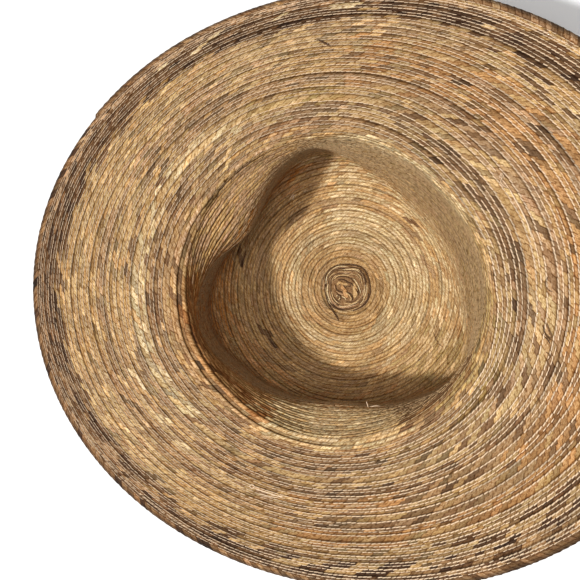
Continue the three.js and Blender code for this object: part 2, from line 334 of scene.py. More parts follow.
def brim_point(azimuth, share):
    a = np.radians(azimuth)
    ends = (BRIM_FALL["front"] + BRIM_FALL["back"]) / 2
    tilt = (BRIM_FALL["back"] - BRIM_FALL["front"]) / 2
    curl = (ends - BRIM_FALL["sides"]) / 2
    fall = (ends + BRIM_FALL["sides"]) / 2 + tilt * np.cos(a) + curl * np.cos(2 * a)
    radius = mix(opening_radius(azimuth), oval_radius(RIM, azimuth), share)
    level = CROWN_DEPTH - STRAW_THICKNESS / 2
    return around(mix(OPENING["x"], RIM["x"], share), mix(OPENING["y"], RIM["y"], share), radius, azimuth,
                  level - fall * share ** BRIM_FALL["curve"])


def control_rings(azimuth):
    """The rings that shape the middle surface, as the part has them."""
    half = STRAW_THICKNESS / 2
    level = CROWN_DEPTH - half
    back = 0.5 + 0.5 * np.cos(np.radians(azimuth))
    ridge, wall, waist = (fold_radius(column, azimuth) for column in FOLD_COLUMNS[1:])
    opening = opening_radius(azimuth)
    neck = opening - mix(NECK["front_inset"], NECK["back_inset"], back)
    neck_height = level - mix(NECK["front_drop"], NECK["back_drop"], back)
    turn = mix(TURN["front"], TURN["back"], back) / (oval_radius(RIM, azimuth) - opening)

    def crown(radius, z):
        return around(*SEWN_AXIS, radius + 0 * azimuth, azimuth, z)

    return np.stack([
        *[crown(radius, half + lifted * TIP_DISH) for radius, lifted in TIP_RINGS],
        crown(ridge - 2 * SEAT_BAND, half),
        crown(ridge - SEAT_BAND, half),
        crown(ridge, half),
        crown(wall, WALL_HEIGHT),
        crown(mix(wall, waist, UPPER_WALL_SHARE), UPPER_WALL_HEIGHT),
        crown(waist, WAIST_HEIGHT),
        around(OPENING["x"], OPENING["y"], neck, azimuth, neck_height),
        around(OPENING["x"], OPENING["y"], opening, azimuth, level),
        brim_point(azimuth, turn),
        *[brim_point(azimuth, share) for share in BRIM_RINGS],
        brim_point(azimuth, 1),
    ], 1)


class Surface:
    """Places on the hat, by azimuth and row number."""

    def __init__(self):
        self.azimuths = np.arange(0, 361, 1.0)
        rings = control_rings(self.azimuths)
        rings[:, 0] = 2 * rings[:, 0] - rings[:, 1]
        rings[:, -1] = 2 * rings[:, -1] - rings[:, -2]
        last = rings.shape[1] - 1
        places = np.linspace(0, last - 1, SPAN_STEPS * (last - 1) + 1)
        span = np.minimum(places.astype(int), last - 2)
        t = (places - span)[None, :, None]
        line = (rings[:, span] * 0.5 * (1 - t) ** 2 + rings[:, span + 1] * (0.5 + t * (1 - t))
                + rings[:, span + 2] * 0.5 * t * t)
        steps = np.linalg.norm(np.diff(line, axis=1), axis=2)
        length = np.concatenate([np.zeros((len(line), 1)), np.cumsum(steps, 1)], 1)
        beyond = line[:, -1:] + (line[:, -1:] - line[:, -2:-1]) / steps[:, -1:, None] * OUTWARD_REACH
        line = np.concatenate([line, beyond], 1)
        length = np.concatenate([length, length[:, -1:] + OUTWARD_REACH], 1)
        self.rows = np.arange(FIRST_ROW, LAST_ROW + BEYOND_RIM + ROW_STEP, ROW_STEP)
        at_break = length[:, SPAN_STEPS * BREAK_RING] + around_table(BREAK_LINE, self.azimuths)
        arc = self.arc_of_rows(at_break[:, None], length[:, -2:-1])
        self.points = np.stack([
            [np.interp(arc[i], length[i], line[i, :, axis]) for i in range(len(arc))] for axis in range(3)
        ], -1)
        closed = np.concatenate([self.points[-2:-1], self.points, self.points[1:2]])
        round_about = (closed[2:] - closed[:-2]) / 2
        self.normals = unit(np.cross(np.gradient(self.points, axis=1), round_about))

    def arc_of_rows(self, at_break, at_rim):
        """How far along the meridian each row is, from the middle of the tip."""
        rows = self.rows[None, :]
        spare = at_break - BUTTON_RADIUS - CROWN_ROW * BREAK_ROW
        crown = BUTTON_RADIUS + CROWN_ROW * rows + spare * rising(rows, 0, BREAK_ROW) ** CROWN_SPREAD
        part = np.maximum((rows - BREAK_ROW) / (LAST_ROW - BREAK_ROW), 0)
        third = around_table(BRIM_THIRD, self.azimuths)[:, None]
        part = part + (third - 1 / 3) * part * np.maximum(1 - part, 0) * THIRD_BEND
        return np.where(rows <= BREAK_ROW, crown, mix(at_break, at_rim, part))

    def sample(self, table, azimuth, row):
        a = np.mod(azimuth, 360)
        i = np.minimum(a.astype(int), 359)
        r = np.clip((row - FIRST_ROW) / ROW_STEP, 0, len(self.rows) - 1.001)
        j = r.astype(int)
        u, v = a - i, r - j
        if table.ndim == 3:
            u, v = u[..., None], v[..., None]
        return mix(mix(table[i, j], table[i + 1, j], u), mix(table[i, j + 1], table[i + 1, j + 1], u), v)

    def at(self, azimuth, row, height):
        """Points that stand height millimetres off the middle surface, on the wearer's side."""
        azimuth, row, height = np.broadcast_arrays(azimuth, row, height)
        normal = unit(self.sample(self.normals, azimuth, row))
        return (self.sample(self.points, azimuth, row) + height[..., None] * normal) * MM


def linear(name):
    c = np.array(PALETTE[name]) / 255
    return np.where(c <= 0.04045, c / 12.92, ((c + 0.055) / 1.055) ** 2.4)


def drift(dice, positions, period, size):
    """A smooth wandering value along positions."""
    count = int((positions[-1] - positions[0]) / period) + 4
    knots = dice.normal(0, size, count)
    x = (positions - positions[0]) / period
    k = x.astype(int)
    t = x - k
    t = t * t * (3 - 2 * t)
    return mix(knots[k], knots[k + 1], t)


def wandering(turn, seed, period, size):
    """A value that wanders along the whole spiral, the same wherever it is asked for."""
    return np.interp(turn, WANDER_TURNS, drift(np.random.default_rng(seed), WANDER_TURNS, period, size))


# How the strands' colours vary. A pair gives a value for the crown and one for the brim
BRIM_LOOK_ROWS = (36, 42)       # where the first of a pair gives way to the second
RAGGED_AZIMUTH, RAGGED_ROW = 2.5, 0.2           # how raggedly a band of the chart ends
BEAT = {"strands": 40, "on": 1.5, "off": 0.6, "period": 9.0, "swing": 0.6, "least": 0.2, "most": 2.0}
RUN_SHIFT = 0.6
DARKENING_HUE = (0.9, 1.0, 1.15)
LIGHTNESS_SPREAD = (0.1, 0.17)
HUE_SPREAD = 0.012
DARK_STRANDS, DARK_STRAND_TONE = 0.07, (0.75, 0.6)
LIGHT_STRANDS_FROM, LIGHT_STRAND_TONE = 0.96, 1.25


def strand_tones(dice, azimuth, row):
    """Colours of the strands at these places, from the chart, with its borders ragged."""
    count = len(azimuth)
    looked_az = np.mod(azimuth + dice.normal(0, RAGGED_AZIMUTH, count), 360)
    looked_row = row + dice.normal(0, RAGGED_ROW, count)
    tones = np.tile(linear("golden"), (count, 1))
    number = np.arange(count)
    # A strand of another colour comes back every second or third time, and only for a while
    slow = drift(dice, number.astype(float), BEAT["period"], 1.0)
    by_twos = np.mod(number // BEAT["strands"], 2) == 0
    often = np.where(np.where(by_twos, number % 2 == 0, number % 3 == 0), BEAT["on"], BEAT["off"])
    swing = np.clip(1 + BEAT["swing"] * slow, BEAT["least"], BEAT["most"])
    pick = dice.random(count)
    for start, end, bands in CHART:
        sector = (looked_az >= start) & (looked_az < end)
        for inner, outer, straw, other, share, *run in bands:
            here = sector & (looked_row >= inner) & (looked_row < outer)
            if run:
                second = here & (np.mod(number + RUN_SHIFT * pick, run[0] / share) < run[0])
            else:
                second = here & (pick < share * often * swing)
            tones[here] = linear(straw)
            tones[second] = linear(other)
    tones *= place_darkening(azimuth, row)[:, None] ** np.array(DARKENING_HUE)
    on_brim = rising(row, *BRIM_LOOK_ROWS)
    tones *= np.exp(mix(*LIGHTNESS_SPREAD, on_brim) * dice.normal(0, 1, count))[:, None]
    tones *= np.exp(dice.normal(0, HUE_SPREAD, (count, 3)))
    odd = dice.random(count)
    tones *= np.where(odd < DARK_STRANDS, mix(*DARK_STRAND_TONE, on_brim), 1.0)[:, None]
    tones[odd > LIGHT_STRANDS_FROM] *= LIGHT_STRAND_TONE
    return tones


# How far the straw's lightness is scaled down, by azimuth: on the brim, on its dark outer rows, and
# beside the break
BRIM_DARKENING = [(0, 0.85), (30, 0.88), (60, 0.76), (90, 0.80), (120, 0.82), (150, 0.80), (180, 0.82),
                (210, 0.84), (240, 0.68), (270, 0.59), (300, 0.62), (330, 0.80)]
OUTER_DARKENING = [(0, 0.9), (60, 1.0), (90, 0.92), (120, 0.9), (150, 0.88), (180, 0.92), (210, 0.9),
                 (240, 0.68), (300, 0.62), (330, 0.88)]
BREAK_DARKENING = [(0, 0.66), (30, 0.74), (60, 0.72), (90, 0.95), (240, 0.93), (300, 0.8), (330, 0.76)]
OUTER_ROWS = (58.5, 59.5)       # where the brim's table gives way to the outer rows'
BREAK_ROWS = 3                  # how many rows of the brim the break's table darkens
SHADED_ROWS, SHADED_TONE = (57, 59.2), 0.85     # rows that are darker all round
TIP_DARKENING = 0.86              # near the button; the rest of the crown is not darkened
TIP_ROWS = (4, 9)


def place_darkening(azimuth, row):
    azimuth = np.mod(azimuth, 360)
    crown = mix(TIP_DARKENING, 1.0, rising(row, *TIP_ROWS))
    inner, outer = around_table(BRIM_DARKENING, azimuth), around_table(OUTER_DARKENING, azimuth)
    brim = mix(inner, outer, rising(row, *OUTER_ROWS))
    brim = brim * np.where(row < BREAK_ROW + BREAK_ROWS, around_table(BREAK_DARKENING, azimuth), 1.0)
    brim = brim * np.where((row > SHADED_ROWS[0]) & (row < SHADED_ROWS[1]), SHADED_TONE, 1.0)
    return mix(crown, brim, rising(row, BREAK_ROW - 1, BREAK_ROW + 1))


# Joints that gape, by the turns of the row outside them and by how much; their dark is partly the braid's dip
# and partly painted shade
GAPES = [
    (40.93, 41.36, 1.0),
    (41.88, 42.06, 0.7),
    (45.12, 45.2, 0.5),
    (49.14, 49.22, 0.5),
    (49.76, 49.92, 0.6),
    (51.04, 51.18, 0.7),
]
GAPE_END = 0.02                 # turns over which a gape opens
GAPE_DEPTH = 0.45
# Where the rows stand up as ridges, on the pinched side of the opening
RIDGED = {"start": 105.0, "end": 262.0, "inner": 33.0, "outer": 42.0, "more": 1.1}
RIDGED_FADE = (15, 1.5)         # degrees and rows over which they rise


def gape(turn):
    """How far the joint at a row's inner edge stands open, 0 to 1."""
    depth = 0 * turn
    for first, last, most in GAPES:
        depth = np.maximum(depth, most * np.clip(np.minimum(turn - first, last - turn) / GAPE_END, 0, 1))
    return depth


def ridged(azimuth, row):
    """1 in the middle of the ridged patch, 0 outside it."""
    along = np.clip(np.minimum(azimuth - RIDGED["start"], RIDGED["end"] - azimuth) / RIDGED_FADE[0], 0, 1)
    across = np.clip(np.minimum(row - RIDGED["inner"], RIDGED["outer"] - row) / RIDGED_FADE[1], 0, 1)
    return along * across


LINE_STRENGTH = 0.62            # how dark a joint or a seam usually is drawn, of 1
LINE_DRIFT = (0.06, 0.22)       # period in turns, and size
JOINT_SEED, SEAM_SEED = 11, 12


def line_strength(turn, seed):
    """How dark a joint or a seam is along its length."""
    return LINE_STRENGTH + wandering(turn, seed, *LINE_DRIFT)


# The braid's section over one row: how far out a point is, its height, and 1 where the middle seam pulls it
HALF_SECTION = [
    (0.00, 0.08, 0),
    (0.02, 0.78, 0),
    (0.44, 0.82, 0),
    (0.51, 0.74, 1),
    (0.58, 0.80, 0),
    (0.95, 0.58, 0),
]
BRAID_WIDTH = 1.4               # rows: each row lies over the edge of the row inside it
SEWN_DEPTH = 0.22
SECTION = HALF_SECTION + [(BRAID_WIDTH - out, -height, -sewn) for out, height, sewn in HALF_SECTION]
OUT, HEIGHT, SEWN = np.array(SECTION).T
# Which way a strand's lift moves each point: not at all at the braid's two edges
LIFTED = np.sign(HEIGHT) * (np.abs(HEIGHT) > 0.3)
INNER_POINTS, OUTER_POINTS = OUT < 0.1, OUT > 0.9
# The faces of the section: which lane of strands they are in, how light (painted shade on the faces at the
# joints), on which half and which side
LANE = np.array([0, 0, 0, 1, 1, 1] * 2)
# Painted shade: the side face at a row's inner edge and the face sloping down under the next row are made
# darker
EDGE_SHADE = np.array([0.75, 1, 0.97, 0.97, 1, 0.7] * 2)
OUTER_HALF = np.array([0, 0, 0, 1, 1, 1, 1, 1, 1, 0, 0, 0], bool)
OUTSIDE = np.array([0, 0, 0, 0, 0, 0, 1, 1, 1, 1, 1, 1], bool)
PLAIN_OUTSIDE = 0.8             # how far the crown's outside goes back to plain golden straw, without its inside's painted shade
OUTER_SLOPE = 5                 # the outermost point on top, and the face beyond it
COLUMNS_A_STRAND = 3
PATH_MARGIN = 0.06              # turns of path beyond each end of a stretch

# How unevenly the strands are laid, and how their lines and fibres are drawn
STRAND_SIZES = (0.7, 1.3)       # the shortest and the longest, as shares of the usual length
STRAND_LIFT, STRAND_DIP, STRAND_RISE = 0.045, -0.13, 0.06
ROW_WANDER = [(7, 0.06, 0.035), (8, 0.3, 0.035)]       # seed, period in turns, size in rows
EDGE_WANDER = 0.02              # rows
EDGE_REACH = (0.2, 1.4)         # how far the strands at the rim stand out, in serrations
LANE_ROWS, EDGE_LANE_ROWS = (0.25, 0.75), (0.25, 2.0)  # where on the chart the two lanes are
ONE_COLOUR = 0.35               # share of strands that run on across the seam in their colour
RIDGE_LINE = 0.6                # painted shade: how much darker the joints are drawn between the ridges
RAGGED_LINE = {"spread": 0.4, "least": 0.1, "most": 1.8}
GAPE_SHADES = (0.5, 0.4)        # painted shade: how much a gape darkens the rows outside and inside it
STRAND_END = (0.89, 1.0)        # how dark a strand's end is drawn, in the crown and on the brim
STRAND_SHIFT, LANE_SHIFT = 13.7, 5.3            # so that each strand has its own stretch of fibre
PLAIN_LINES = (1.0, 0.0, 0.0)   # clear of strand ends, and no joint or seam drawn


class Braid:
    """A stretch of the spiral of braid, from one turn to another. Turns are counted at BRAID_END."""

    def __init__(self, surface, seed, first_turn, last_turn, slant, longest_strand):
        self.surface = surface
        self.dice = np.random.default_rng(seed)
        self.slant = slant
        first, last = first_turn - PATH_MARGIN, last_turn + PATH_MARGIN
        turns = np.linspace(first, last, int((last - first) * 360) + 2)
        path = surface.at(self.azimuth(turns), inner_edge(turns) + 0.5, 0) / MM
        length = run_length(path)
        length = length - np.interp(first_turn, turns, length)
        self.turns, self.length = turns, length
        self.total = np.interp(last_turn, turns, length)
        self.wander = sum(wandering(turns, *wander) for wander in ROW_WANDER)
        starts = [0.0]
        while starts[-1] < self.total:
            turn = np.interp(starts[-1], length, turns)
            starts.append(starts[-1] + strand_length(turn, longest_strand) * self.dice.uniform(*STRAND_SIZES))
        starts = np.array(starts)
        self.starts = starts * self.total / starts[-1]

    @staticmethod
    def azimuth(turns):
        return BRAID_END + 360 * np.mod(turns, 1)

    def turn(self, along):
        return np.interp(along, self.length, self.turns)

    def place(self, along, out, height):
        """Points on the braid: along in millimetres, out in rows from its inner edge."""
        turn = self.turn(along)
        row = inner_edge(turn) + np.interp(along, self.length, self.wander) + out
        return self.surface.at(self.azimuth(turn), row, height)

    def mesh(self, name):
        """The plaited strip itself, one closed body."""
        dice = self.dice
        starts, size = self.starts[:-1], np.diff(self.starts)
        count = len(starts)
        along = (starts[:, None] + size[:, None] * np.arange(COLUMNS_A_STRAND) / COLUMNS_A_STRAND).ravel()
        along = np.append(along, self.starts[-1])
        columns = len(along)
        # The second lane's strands end between the first lane's
        number = np.arange(columns)
        lane_strand, step = np.divmod(np.stack([number, number + 1]), COLUMNS_A_STRAND)
        at_end = step == 0
        lift = dice.normal(0, STRAND_LIFT, (2, count + 2))
        rise = np.take_along_axis(lift, lane_strand, 1) + np.where(at_end, STRAND_DIP, STRAND_RISE)
        turn = self.turn(along)
        azimuth, row, sewn = self.azimuth(turn), inner_edge(turn), sewn_rows(turn)
        proud = ridged(azimuth, row)
        pulled = sewn[:, None] * SEWN * SEWN_DEPTH
        heights = HEIGHT * (1 + RIDGED["more"] * proud[:, None]) - pulled + rise[LANE].T * LIFTED
        heights[:, OUTER_SLOPE] -= GAPE_DEPTH * gape(turn + 1)
        wide = braid_width(turn)[:, None] / BRAID_WIDTH
        on_rim = self.slant < 0
        if on_rim:
            reach = np.repeat(dice.uniform(*EDGE_REACH, count + 1), COLUMNS_A_STRAND)[:columns] * SERRATION
            wide = wide + (reach * (step[0] / (COLUMNS_A_STRAND - 1) - 0.5))[:, None]
        edge = np.repeat(dice.normal(0, EDGE_WANDER, count + 1), COLUMNS_A_STRAND)[:columns]
        rows_out = OUT * np.where(OUTER_POINTS, wide, 1) + edge[:, None] * INNER_POINTS
        points = self.place(along[:, None] - self.slant * OUT, rows_out, heights)
        each_azimuth, each_row = azimuth[::COLUMNS_A_STRAND], row[::COLUMNS_A_STRAND]
        tones = np.stack([strand_tones(dice, each_azimuth, each_row + out)
                          for out in (EDGE_LANE_ROWS if on_rim else LANE_ROWS)])
        one_colour = (sewn[::COLUMNS_A_STRAND] < 0.5) | (dice.random(count + 1) < ONE_COLOUR)
        if not on_rim:
            tones[1][one_colour] = tones[0][one_colour]
        open_in, open_out = gape(turn), gape(turn + 1)
        # Joints are drawn darker where they gape and between ridges: painted shade of the deeper groove
        inner = np.clip(line_strength(turn, JOINT_SEED) + open_in + RIDGE_LINE * proud, 0, 1)
        outer = np.clip(line_strength(turn + 1, JOINT_SEED) + open_out + RIDGE_LINE * proud, 0, 1)
        ragged = dice.normal(1, RAGGED_LINE["spread"], (2, columns, 1))
        ragged = np.clip(ragged, RAGGED_LINE["least"], RAGGED_LINE["most"])
        joint = np.where(OUTER_HALF, outer[:, None], inner[:, None]) * ragged[0]
        seam = np.broadcast_to((sewn * line_strength(turn, SEAM_SEED))[:, None] * ragged[1], joint.shape)
        # Painted shade on the faces at the joints, deeper where a joint gapes
        light = np.tile(EDGE_SHADE, (columns, 1))
        light[:, [0]] *= 1 - GAPE_SHADES[0] * open_in[:, None]
        light[:, [OUTER_SLOPE - 1, OUTER_SLOPE]] *= 1 - GAPE_SHADES[1] * open_out[:, None]
        # Clear is 0 where a strand ends and 1 away from it
        clear = 1.0 - at_end[LANE].T * mix(*STRAND_END, rising(row, *BRIM_LOOK_ROWS))[:, None]
        lines = np.stack([clear, joint, seam], -1)
        return self.build(name, points, along, lane_strand, tones, light, lines)

    def build(self, name, points, along, lane_strand, tones, light, lines):
        """The mesh from its points, with the tone, the lines and the flat place of each face."""
        columns, size = points.shape[:2]
        faces = closed_tube(columns, size)[:, [0, 3, 2, 1]]
        in_ends = len(faces) - (columns - 1) * size
        strand = np.minimum(lane_strand[:, :-1][LANE].T, tones.shape[1] - 1)
        # The crown's outer faces go partly back to plain golden straw, as the chart's crown tones carry
        # painted shade of the inside
        crown = np.clip(BREAK_ROW - inner_edge(self.turn(along[:-1])), 0, 1)[:, None, None]
        plain_outside = PLAIN_OUTSIDE * crown * OUTSIDE[None, :, None]
        face_tone = mix(tones[LANE[None, :], strand], linear("golden"), plain_outside) * light[:-1, :, None]
        end_tone = np.repeat(tones[0, [0, -1]], in_ends // 2, axis=0)
        face_tone = np.concatenate([face_tone.reshape(-1, 3), end_tone])
        lines = np.stack([lines[:-1], lines[:-1], lines[1:], lines[1:]], 2).reshape(-1, 4, 3)
        lines = np.concatenate([lines, np.tile(PLAIN_LINES, (in_ends, 4, 1))])
        shift = strand * STRAND_SHIFT + LANE * LANE_SHIFT
        low_u, high_u = along[:-1, None] + shift, along[1:, None] + shift
        low_v = np.broadcast_to(OUT * CROWN_ROW, strand.shape)
        high_v = np.roll(low_v, -1, axis=1)
        corners = [(low_u, low_v), (low_u, high_v), (high_u, high_v), (high_u, low_v)]
        uv = np.stack([np.stack(corner, -1) for corner in corners], 2).reshape(-1, 4, 2)
        uv = np.concatenate([uv, np.zeros((in_ends, 4, 2))])
        return joined_mesh(name, points.reshape(-1, 3), faces, face_tone, uv, lines)


def closed_tube(rings, size):
    """Faces of a tube: its walls from ring to ring of points, then strips that close its two ends."""
    here = np.arange(rings - 1)[:, None] * size
    k = np.arange(size)[None, :]
    up = (k + 1) % size
    walls = np.stack([here + k, here + size + k, here + size + up, here + up], -1)
    pairs = np.arange(size // 2 - 1)
    lid = np.stack([pairs, pairs + 1, size - 2 - pairs, size - 1 - pairs], -1)
    return np.concatenate([walls.reshape(-1, 4), lid, lid[:, ::-1] + (rings - 1) * size])


def joined_mesh(name, points, faces, face_tones, corner_uv, lines=None):
    """A mesh from arrays: a colour for each face, and a flat coordinate for each of its corners."""
    mesh = bpy.data.meshes.new(name)
    mesh.vertices.add(len(points))
    mesh.vertices.foreach_set("co", points.astype(np.float32).ravel())
    corners = faces.shape[1]
    mesh.loops.add(faces.size)
    mesh.loops.foreach_set("vertex_index", faces.astype(np.int32).ravel())
    mesh.polygons.add(len(faces))
    mesh.polygons.foreach_set("loop_start", np.arange(0, faces.size, corners, dtype=np.int32))
    mesh.polygons.foreach_set("use_smooth", np.ones(len(faces), bool))
    mesh.update(calc_edges=True)
    tone = mesh.color_attributes.new("tone", "FLOAT_COLOR", "CORNER")
    colours = np.ones((len(faces), corners, 4), np.float32)
    colours[:, :, :3] = np.clip(face_tones, 0, 1)[:, None, :]
    tone.data.foreach_set("color", colours.ravel())
    uv = mesh.uv_layers.new(name="plait")
    uv.data.foreach_set("uv", corner_uv.astype(np.float32).ravel())
    if lines is None:
        lines = np.tile(PLAIN_LINES, (len(faces), corners, 1))
    drawn = mesh.attributes.new("lines", "FLOAT_VECTOR", "CORNER")
    drawn.data.foreach_set("vector", lines.astype(np.float32).ravel())
    obj = bpy.data.objects.new(name, mesh)
    bpy.context.scene.collection.objects.link(obj)
    return obj


# A stitch dips into the straw at its two ends, and a ridge runs between its shoulders
STITCH = {"length": 2.98, "shoulder": 1.34, "width": 0.30, "height": 0.30, "dip": 0.08, "lean": -0.12}
END_LEAN = 1.6                  # how far its ends lean, beside its shoulders' 1
STITCH_TRIANGLES = np.array([(0, 2, 1), (0, 3, 2), (0, 1, 3), (1, 2, 5), (1, 5, 4), (2, 3, 6), (2, 6, 5),
                             (3, 1, 4), (3, 4, 6), (7, 4, 5), (7, 5, 6), (7, 6, 4)])
STITCH_SPREAD = {"along": 0.18, "across": 0.02, "up": 0.04}
THREAD_LIGHT = [(0, 1.0), (60, 0.97), (100, 0.88), (150, 0.78), (200, 0.78), (240, 0.88), (270, 0.98),
                (300, 1.0), (330, 1.0)]
THREAD_BOLD = [(0, 1.35), (60, 1.1), (100, 0.85), (240, 0.9), (270, 1.2), (300, 1.4), (330, 1.4)]
CROWN_BOLD = 0.8
THREAD_DRIFT, THREAD_SPREAD = (60.0, 0.16), 0.08
THREAD_LIMITS = (-1, 0.1)
DUSTY_THREAD = 0.8              # how far the thread in the crown has taken on a darker straw's colour
DUST_TONE = 0.75
# The lines of stitches: name, rows out, side, height, share sewn, and whether the seam comes and goes
STITCH_LINES = [
    ("edge_stitches", 0.08, 1, 0.80, 0.97, False),
    ("middle_stitches", 0.51, 1, 0.56, 0.93, True),
    ("outer_stitches", 0.89, -1, 0.56, 0.97, False),
]


def stitches(name, braid, seed, out, side, height, share, comes_and_goes):
    """Machine stitches along one line of the braid, on one of its two faces."""
    dice = np.random.default_rng(seed)
    count = int(braid.total / STITCH_PITCH)
    centre = (np.arange(count) + 0.5) * STITCH_PITCH + dice.normal(0, STITCH_SPREAD["along"], count)
    centre = np.clip(centre, STITCH["length"], braid.total - STITCH["length"])
    keep = dice.random(count) < share
    if comes_and_goes:
        keep = keep & (sewn_rows(braid.turn(centre)) > 0.5)
    centre = centre[keep]
    count = len(centre)
    half, shoulder = STITCH["length"] / 2, STITCH["shoulder"]
    wide, lean = STITCH["width"] / CROWN_ROW, STITCH["lean"] / CROWN_ROW
    dip, top = -STITCH["dip"], STITCH["height"]
    along, across, up = np.array([
        (-half, -END_LEAN * lean, dip),
        (-shoulder, -lean - wide, 0),
        (-shoulder, -lean, top),
        (-shoulder, -lean + wide, 0),
        (shoulder, lean - wide, 0),
        (shoulder, lean, top),
        (shoulder, lean + wide, 0),
        (half, END_LEAN * lean, dip),
    ]).T
    turn = braid.turn(centre)
    azimuth = np.mod(braid.azimuth(turn), 360)
    bold = np.where(inner_edge(turn) > BREAK_ROW, around_table(THREAD_BOLD, azimuth), CROWN_BOLD)[:, None]
    jitter = dice.normal(0, STITCH_SPREAD["across"], count)[:, None]
    lifts = side * (height + up + dice.normal(0, STITCH_SPREAD["up"], count)[:, None])
    points = braid.place(centre[:, None] + along - braid.slant * out, out + jitter + bold * across, lifts)
    triangles = STITCH_TRIANGLES if side > 0 else STITCH_TRIANGLES[:, ::-1]
    faces = (np.arange(count)[:, None, None] * len(along) + triangles[None]).reshape(-1, 3)
    bright = drift(dice, centre, *THREAD_DRIFT) + dice.normal(0, THREAD_SPREAD, count)
    bright = np.exp(np.clip(bright, *THREAD_LIMITS)) * around_table(THREAD_LIGHT, azimuth)
    dusty = DUSTY_THREAD * np.clip(BREAK_ROW - inner_edge(turn), 0, 1)[:, None]
    tones = mix(linear("thread"), DUST_TONE * linear("golden"), dusty) * bright[:, None]
    tones = np.repeat(tones, len(triangles), axis=0)
    flat = np.stack(np.broadcast_arrays(centre[:, None] + along, across), -1)
    return joined_mesh(name, points.reshape(-1, 3), faces, tones, flat.reshape(-1, 2)[faces])


# Painted shade of the joints and beside the middle seam, across the section: how light the straw is, by the
# share of the section's width
JOINT_LINE = [(0.0, 0.3), (0.03, 0.55), (0.11, 1.0), (0.55, 1.0), (0.655, 0.62), (0.69, 0.28), (0.73, 0.28),
              (0.75, 1.0), (1.0, 0.5)]
SEAM_LINE = [(0.27, 1.0), (0.385, 0.66), (0.41, 0.3), (0.45, 0.3), (0.475, 0.66), (0.56, 1.0)]
WHITE = (1, 1, 1)
WARMTH = (0.7, 1.0, 1.55)       # a darker place is drawn redder too: bounced light in the painted shade, the straw's own in fibres
STRAND_END_TONE = 0.28
STRAND_END_RANGE = (0, 0.28)    # of the drawn value that is 0 at a strand's end
# Noise along and across the braid: its scale and detail, the range of it that counts, and the tones it gives
FIBRE = {"scale": (1.6, 0.35), "detail": 3.0, "range": (0.3, 0.7), "tones": (0.54, 1.44)}
GRAIN = {"scale": (0.7, 2.8), "detail": 2.0, "range": (0.34, 0.66), "tones": (0.66, 1.36)}
FLECKS = {"scale": (0.45, 1.5), "detail": 2.0, "range": (0.38, 0.46), "tones": (0.5, 1.0)}
STRAW_SHEEN = 0.15
RELIEF_DEPTH = 0.3
FIBRE_RELIEF = 0.5              # the fibres' part in the relief, beside the drawn lines' 1
TWIST_SCALE, TWIST_TONES = 1.2, (0.82, 1.05)
FLOOR_GRAIN, FLOOR_TONES = 3.0, (0.90, 0.93)


def warm(value):
    return tuple(value ** power for power in WARMTH)


class Look:
    """A new material, and the kinds of nodes that make up its look."""

    def __init__(self, name, roughness):
        self.material = bpy.data.materials.new(name)
        self.material.use_nodes = True
        self.nodes, self.links = self.material.node_tree.nodes, self.material.node_tree.links
        self.shader = self.nodes["Principled BSDF"].inputs
        self.shader["Roughness"].default_value = roughness

    def tone(self):
        node = self.nodes.new("ShaderNodeVertexColor")
        node.layer_name = "tone"
        return node.outputs["Color"]

    def flat_place(self):
        node = self.nodes.new("ShaderNodeUVMap")
        node.uv_map = "plait"
        return node.outputs["UV"]

    def split(self, vector):
        node = self.nodes.new("ShaderNodeSeparateXYZ")
        self.links.new(vector, node.inputs["Vector"])
        return [node.outputs[axis] for axis in "XYZ"]

    def mapped(self, value, from_range, to_range):
        """A clamped map from one range to another."""
        node = self.nodes.new("ShaderNodeMapRange")
        node.inputs["From Min"].default_value, node.inputs["From Max"].default_value = from_range
        node.inputs["To Min"].default_value, node.inputs["To Max"].default_value = to_range
        self.links.new(value, node.inputs["Value"])
        return node.outputs["Result"]

    def noise(self, vector, kind):
        """Noise stretched by the scales of its kind."""
        stretch = self.nodes.new("ShaderNodeMapping")
        stretch.inputs["Scale"].default_value = (*kind["scale"], 1)
        self.links.new(vector, stretch.inputs["Vector"])
        texture = self.nodes.new("ShaderNodeTexNoise")
        texture.inputs["Scale"].default_value = 1.0
        texture.inputs["Detail"].default_value = kind["detail"]
        self.links.new(stretch.outputs["Vector"], texture.inputs["Vector"])
        return texture.outputs["Fac"]

    def multiplied(self, first, second):
        """The product of two colours, or of a colour and a value."""
        node = self.nodes.new("ShaderNodeVectorMath")
        node.operation = "MULTIPLY"
        self.links.new(first, node.inputs[0])
        self.links.new(second, node.inputs[1])
        return node.outputs["Vector"]

    def faded(self, share, first, second):
        """From the first colour to the second by a share; each colour is a value or a socket."""
        node = self.nodes.new("ShaderNodeMix")
        node.data_type = "RGBA"
        self.links.new(share, node.inputs["Factor"])
        for socket, colour in ((node.inputs[6], first), (node.inputs[7], second)):
            if isinstance(colour, tuple):
                socket.default_value = (*colour, 1)
            else:
                self.links.new(colour, socket)
        return node.outputs[2]

    def shaded_by(self, noise, kind):
        """The tones that a kind of noise gives."""
        return self.faded(self.mapped(noise, kind["range"], (0, 1)), *(warm(tone) for tone in kind["tones"]))

    def drawn_line(self, across, strength, stops):
        """White away from the line, and down to its stops' darkness where its strength is 1."""
        ramp = self.nodes.new("ShaderNodeValToRGB")
        elements = ramp.color_ramp.elements
        for number, (place, value) in enumerate(stops):
            element = elements[number] if number < 2 else elements.new(place)
            element.position = place
            element.color = (*warm(value), 1)
        self.links.new(across, ramp.inputs["Fac"])
        return self.faded(strength, WHITE, ramp.outputs["Color"])


